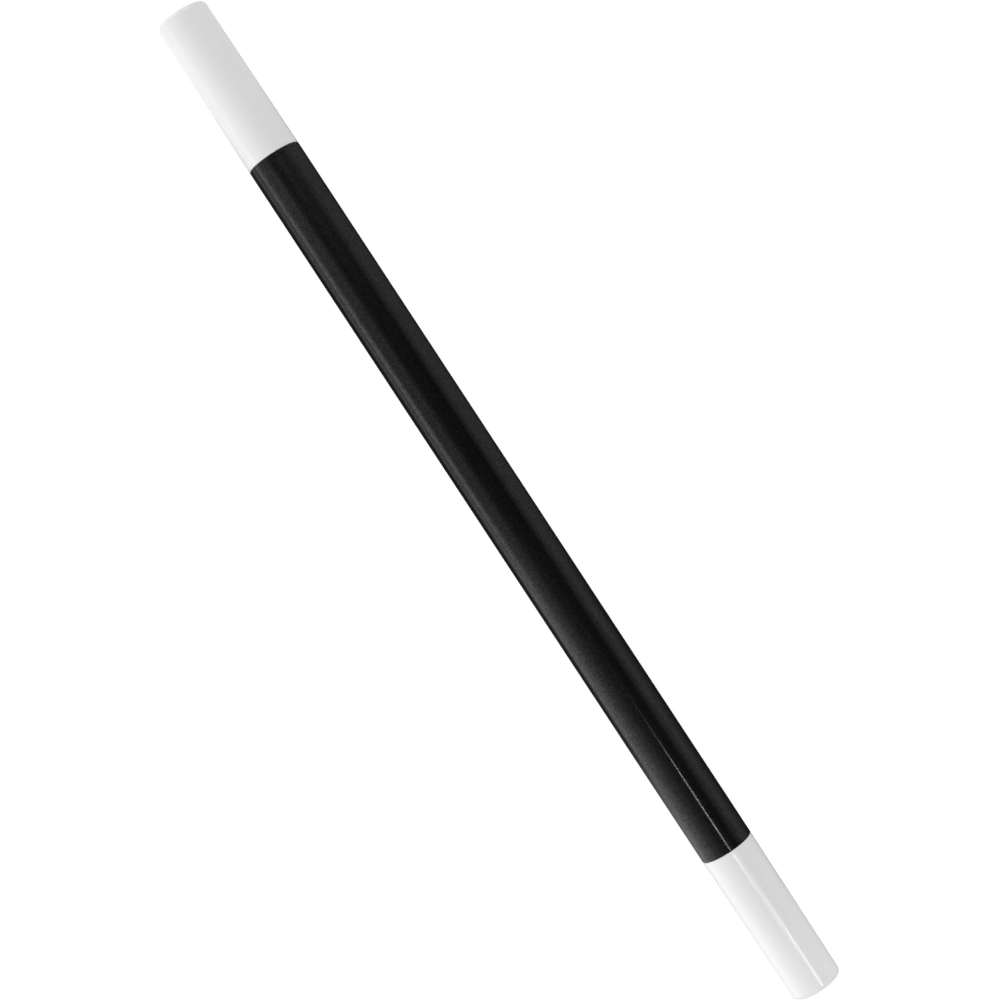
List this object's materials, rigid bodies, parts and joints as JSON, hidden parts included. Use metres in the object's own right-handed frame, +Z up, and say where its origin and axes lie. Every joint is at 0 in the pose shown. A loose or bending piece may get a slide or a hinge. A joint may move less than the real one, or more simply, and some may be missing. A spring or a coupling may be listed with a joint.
{
  "type": "magic wand",
  "caption": "Straight round stage wand: a satin black hollow tube with a plain white tip, flat-ended with a rounded edge, plugged into each end.",
  "frame": {"origin": "on the ground below the wand's centre; the wand lies on its tube", "axes": "+X along the wand towards the right tip, +Z up; the wand's axis is 7.5 mm above the ground"},
  "size_m": [0.3024, 0.015, 0.015],
  "materials": {
    "black_tube": "satin extruded plastic with fine lengthwise die lines",
    "white_tip": "smooth semi-gloss injection moulding"
  },
  "bodies": {
    "shaft": {"shaft_tube": "black_tube"},
    "left_tip": {"left_tip_cap": "white_tip"},
    "right_tip": {"right_tip_cap": "white_tip"}
  },
  "joints": [
    {"name": "left_tip_pull", "type": "slide", "parent": "shaft", "child": "left_tip", "axis": [-1, 0, 0], "range_m": [0, 0.016]},
    {"name": "right_tip_pull", "type": "slide", "parent": "shaft", "child": "right_tip", "axis": [1, 0, 0], "range_m": [0, 0.016]}
  ]
}
